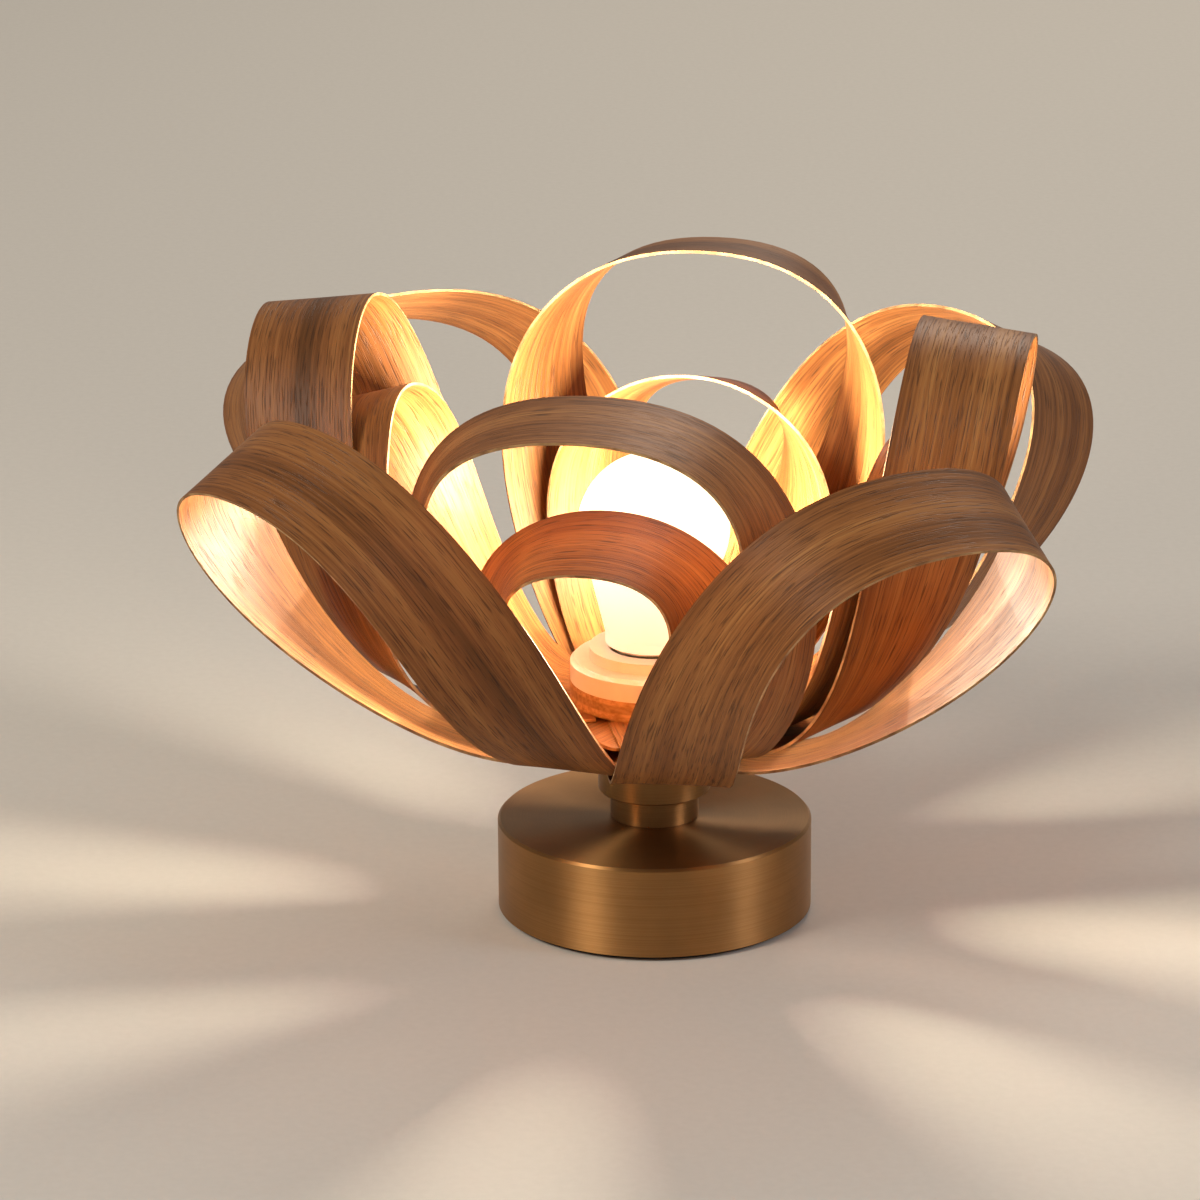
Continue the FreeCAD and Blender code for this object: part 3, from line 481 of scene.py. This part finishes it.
def opal_globe():
    """Moulded and frosted: one even glow, warmer towards the neck, with no hot spot."""
    material, tree, shader = begin("opal polycarbonate, lit", {
        "Roughness": 0.45, "Base Color": tone("#f3ead8"), "Emission Strength": 1.5})
    point = add(tree, "TexCoord").outputs["Object"]
    height = add(tree, "SeparateXYZ", {0: point}).outputs[2]
    level = add(tree, "MapRange", {"Value": height, "From Min": GLOBE_MIDDLE - GLOBE_RADIUS / 2,
                                   "From Max": GLOBE_MIDDLE + GLOBE_RADIUS}).outputs["Result"]
    haze = add(tree, "TexNoise", {"Vector": point, "Scale": per_mm(9), "Detail": 2}).outputs["Fac"]
    mixed = add(tree, "Mix", {0: 0.12, 2: level, 3: haze}, data_type="FLOAT").outputs[0]
    glow = add(tree, "ValToRGB", {0: mixed}, ramp=(
        (0.0, "#ffdca4"), (0.35, "#fff0d2"), (1.0, "#ffe6bd"))).outputs["Color"]
    tree.links.new(glow, shader.inputs["Emission Color"])
    return material


def glowing_neck():
    """White satin plastic; some of the globe's light soaks down through it."""
    material = grained("polycarbonate, white satin", "#e9e5db", "#f3f0e8", 0.6, 0.12, {"Roughness": 0.42})
    tree = material.node_tree
    shader = tree.nodes["Principled BSDF"]
    height = add(tree, "SeparateXYZ", {0: add(tree, "TexCoord").outputs["Object"]}).outputs[2]
    low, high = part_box("bulb_neck")
    soak = add(tree, "MapRange", {"Value": height, "From Min": low.z, "From Max": high.z,
                                  "To Min": 0.45, "To Max": 1.0}).outputs["Result"]
    tree.links.new(soak, shader.inputs["Emission Strength"])
    shader.inputs["Emission Color"].default_value = tone("#fff3df")
    return material


def light_in_globe(name, energy):
    bpy.ops.object.light_add(type="POINT", location=(0, 0, GLOBE_MIDDLE))
    light = bpy.context.object
    light.name = name
    light.data.energy = energy
    light.data.color = tone("#fff0d8")[:3]
    light.data.shadow_soft_size = GLOBE_RADIUS * 0.9
    return light


dress(opal_globe(), "bulb_globe")
dress(glowing_neck(), "bulb_neck")
solids["bulb_globe"].visible_shadow = False
bulb_light = light_in_globe("bulb_light", BULB_WATTS)
print("bulb light:", bulb_light.data.energy, "W")

# %% [markdown]
# ## Light on the outer strips
# In the photograph the inner faces of the four outer strips are bright. Here the strips inside shade
# much of them, because one picture doesn't show how deep each strip stands. So a second, weaker light
# in the globe brightens them. Light linking gives it to those four strips alone, and only they cast a
# shadow in it. It is a stand-in, not light that could get through.

# %% Scattered light
outer_strips = bpy.data.collections.new("outer strips")
for strip, _ in strips:
    if "outer_petal" in strip.name:
        outer_strips.objects.link(strip)
scattered_light = light_in_globe("scattered_light", SCATTERED_WATTS)
scattered_light.light_linking.receiver_collection = outer_strips
scattered_light.light_linking.blocker_collection = outer_strips

# %% [markdown]
# ## The bulb's screw cap
# The cap is rolled metal with a round thread, one turn every 3.6 millimetres. It can be seen when the
# bulb is unscrewed. A thread is a wave that climbs as it goes round, so the wave is
# drawn once as a line and the Screw modifier turns it while it rises by one pitch. Two cuts make its ends flat.

# %% Threaded cap
PITCH = 3.629 * MM
CREST = 13.1 * MM
THREAD_DEPTH = 0.9 * MM
STEPS_PER_TURN = 10
STEPS_ROUND = 72


def threaded_cap():
    low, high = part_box("bulb_cap")
    steps = round((high.z - low.z) / PITCH + 3) * STEPS_PER_TURN
    bpy.ops.object.select_all(action="DESELECT")
    bpy.ops.mesh.primitive_plane_add(size=PITCH)
    cap = bpy.context.object
    cap.name = "bulb_cap_thread"
    bpy.ops.object.mode_set(mode="EDIT")
    bpy.ops.mesh.select_all(action="SELECT")
    bpy.ops.mesh.merge(type="CENTER")
    rise = PITCH / STEPS_PER_TURN
    for _ in range(steps):
        bpy.ops.mesh.extrude_vertices_move(TRANSFORM_OT_translate={"value": (0, 0, rise)})
    bpy.ops.object.mode_set(mode="OBJECT")
    for vertex in cap.data.vertices:
        wave = 0.5 + 0.5 * math.cos(math.tau * vertex.co.z / PITCH)
        vertex.co = (CREST - THREAD_DEPTH * wave, 0, vertex.co.z + low.z - 2 * PITCH)
    screw = cap.modifiers.new("thread", "SCREW")
    screw.axis = "Z"
    screw.screw_offset = PITCH
    screw.steps = screw.render_steps = STEPS_ROUND
    screw.use_merge_vertices = False
    bpy.ops.object.modifier_apply(modifier="thread")
    bpy.ops.object.mode_set(mode="EDIT")
    for height, side in ((low.z, True), (high.z, False)):
        bpy.ops.mesh.select_all(action="SELECT")
        bpy.ops.mesh.bisect(plane_co=(0, 0, height), plane_no=(0, 0, 1), use_fill=True,
                            clear_inner=side, clear_outer=not side)
    bpy.ops.mesh.select_all(action="SELECT")
    bpy.ops.mesh.remove_doubles(threshold=0.01 * MM)
    bpy.ops.mesh.normals_make_consistent(inside=False)
    bpy.ops.object.mode_set(mode="OBJECT")
    cap.data.materials.append(NICKEL)
    bpy.ops.object.shade_smooth_by_angle(angle=math.radians(50))
    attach(cap, "bulb")
    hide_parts("bulb_cap")
    return cap


cap = threaded_cap()
print("cap faces:", len(cap.data.polygons))

# %% [markdown]
# ## Small electrical pieces
# The port is a steel shell round a dark tongue, the boards are glass fibre or aluminium under lacquer
# and the wires have coloured silicone skins. Two finishes in one solid need no second material slot:
# a test on the point's own coordinates picks the tone.

# %% Port, boards and wires
def charging_port():
    """Drawn steel, bright and a little blotchy; the plastic tongue inside stays black."""
    material, tree, shader = begin("port, steel shell and black tongue", {"Roughness": 0.3})
    low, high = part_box("charging_socket")
    point = add(tree, "TexCoord").outputs["Object"]
    axes = add(tree, "SeparateXYZ", {0: point})
    tongue = add(tree, "Math", {0: axes.outputs[2], 1: (low.z + high.z) / 2, 2: 0.4 * MM}, operation="COMPARE")
    middle = add(tree, "Math", {0: axes.outputs[0], 1: 0.0, 2: 3.4 * MM}, operation="COMPARE")
    dark = add(tree, "Math", {0: tongue.outputs[0], 1: middle.outputs[0]}, operation="MULTIPLY").outputs[0]
    noise = add(tree, "TexNoise", {"Vector": point, "Scale": per_mm(1.2)}).outputs["Fac"]
    steel = add(tree, "ValToRGB", {0: noise}, ramp=((0.3, "#8f8f8d"), (0.7, "#bdbcb8"))).outputs["Color"]
    colour = add(tree, "Mix", {0: dark, 6: steel, 7: tone("#141414")}, data_type="RGBA").outputs[2]
    tree.links.new(colour, shader.inputs["Base Color"])
    metal = add(tree, "Math", {0: 1.0, 1: dark}, operation="SUBTRACT").outputs[0]
    tree.links.new(metal, shader.inputs["Metallic"])
    return material


def lacquered_board(name, lacquer, trace, step):
    """Sprayed lacquer: an even, slightly glossy coat over small raised pads."""
    material, tree, shader = begin(name, {"Roughness": 0.35})
    point = add(tree, "TexCoord").outputs["Object"]
    cells = add(tree, "TexVoronoi", {"Vector": point, "Scale": per_mm(step)}, distance="CHEBYCHEV")
    pads = add(tree, "Math", {0: cells.outputs["Distance"], 1: 0.22}, operation="LESS_THAN").outputs[0]
    colour = add(tree, "Mix", {0: pads, 6: tone(lacquer), 7: tone(trace)}, data_type="RGBA").outputs[2]
    tree.links.new(colour, shader.inputs["Base Color"])
    bump = add(tree, "Bump", {"Height": pads, "Strength": 0.4, "Distance": 0.05 * MM})
    tree.links.new(bump.outputs["Normal"], shader.inputs["Normal"])
    return material


def wire_skin(name, split):
    """Extruded skin, waxy and uneven; red on one side of the split, black on the other."""
    material, tree, shader = begin(name, {"Roughness": 0.55})
    point = add(tree, "TexCoord").outputs["Object"]
    side = add(tree, "SeparateXYZ", {0: point}).outputs[0]
    red = add(tree, "Math", {0: side, 1: split}, operation="GREATER_THAN").outputs[0]
    noise = add(tree, "TexNoise", {"Vector": point, "Scale": per_mm(2)}).outputs["Fac"]
    hot = add(tree, "ValToRGB", {0: noise}, ramp=((0.3, "#8e1f19"), (0.7, "#b3322a"))).outputs["Color"]
    cold = add(tree, "ValToRGB", {0: noise}, ramp=((0.3, "#131313"), (0.7, "#262626"))).outputs["Color"]
    colour = add(tree, "Mix", {0: red, 6: cold, 7: hot}, data_type="RGBA").outputs[2]
    tree.links.new(colour, shader.inputs["Base Color"])
    return material


dress(charging_port(), "charging_socket")
dress(lacquered_board("glass fibre board, green lacquer", "#14563a", "#b9a35a", 4), "circuit_board")
dress(lacquered_board("aluminium board, white lacquer", "#eeece4", "#f2d36a", 6), "bulb_led_board")
dress(wire_skin("silicone wire skin", 0.0), "lead_wires")
dress(wire_skin("PVC wire skin", 9 * MM), "battery_leads")

# %% [markdown]
# ## Floor and light
# The lamp stands on a plain pale floor in soft studio light: a broad key light from the front left, a
# weaker fill from the right, a rim light from behind and an even world. The levels keep colours about
# as they are written, so the finishes look right under any other light too, and leave room for the
# bulb's own glow.

# %% Studio
FLOOR_SIZE = 14


def soft_light(name, place, size, energy, colour):
    bpy.ops.object.light_add(type="AREA", location=place)
    light = bpy.context.object
    light.name = name
    light.data.shape = "DISK"
    light.data.size = size
    light.data.energy = energy
    light.data.color = tone(colour)[:3]
    aim = Vector((0, 0, 0.1)) - Vector(place)
    light.rotation_euler = aim.to_track_quat("-Z", "Y").to_euler()


def pale_floor():
    bpy.ops.mesh.primitive_plane_add(size=FLOOR_SIZE)
    floor = bpy.context.object
    floor.name = "studio_floor"
    material, tree, shader = begin("matt studio paint, pale", {"Roughness": 0.75, "Specular IOR Level": 0.25})
    noise = add(tree, "TexNoise", {"Vector": add(tree, "TexCoord").outputs["Object"], "Scale": per_mm(3),
                                   "Detail": 2}).outputs["Fac"]
    paint = add(tree, "ValToRGB", {0: noise}, ramp=((0.3, "#d0cac0"), (0.7, "#d3cdc3"))).outputs["Color"]
    tree.links.new(paint, shader.inputs["Base Color"])
    floor.data.materials.append(material)


pale_floor()
soft_light("key_light", (-1.6, -1.15, 1.7), 0.8, 34, "#fff6ea")
soft_light("fill_light", (1.85, -0.6, 1.1), 0.7, 11, "#f6f4ff")
soft_light("rim_light", (0.5, 1.9, 1.5), 0.9, 14, "#fff4e4")
world = bpy.data.worlds.new("studio")
world.use_nodes = True
world.node_tree.nodes["Background"].inputs["Color"].default_value = tone("#f1efec")
world.node_tree.nodes["Background"].inputs["Strength"].default_value = 0.28
bpy.context.scene.world = world
bpy.context.scene.view_settings.view_transform = "Standard"
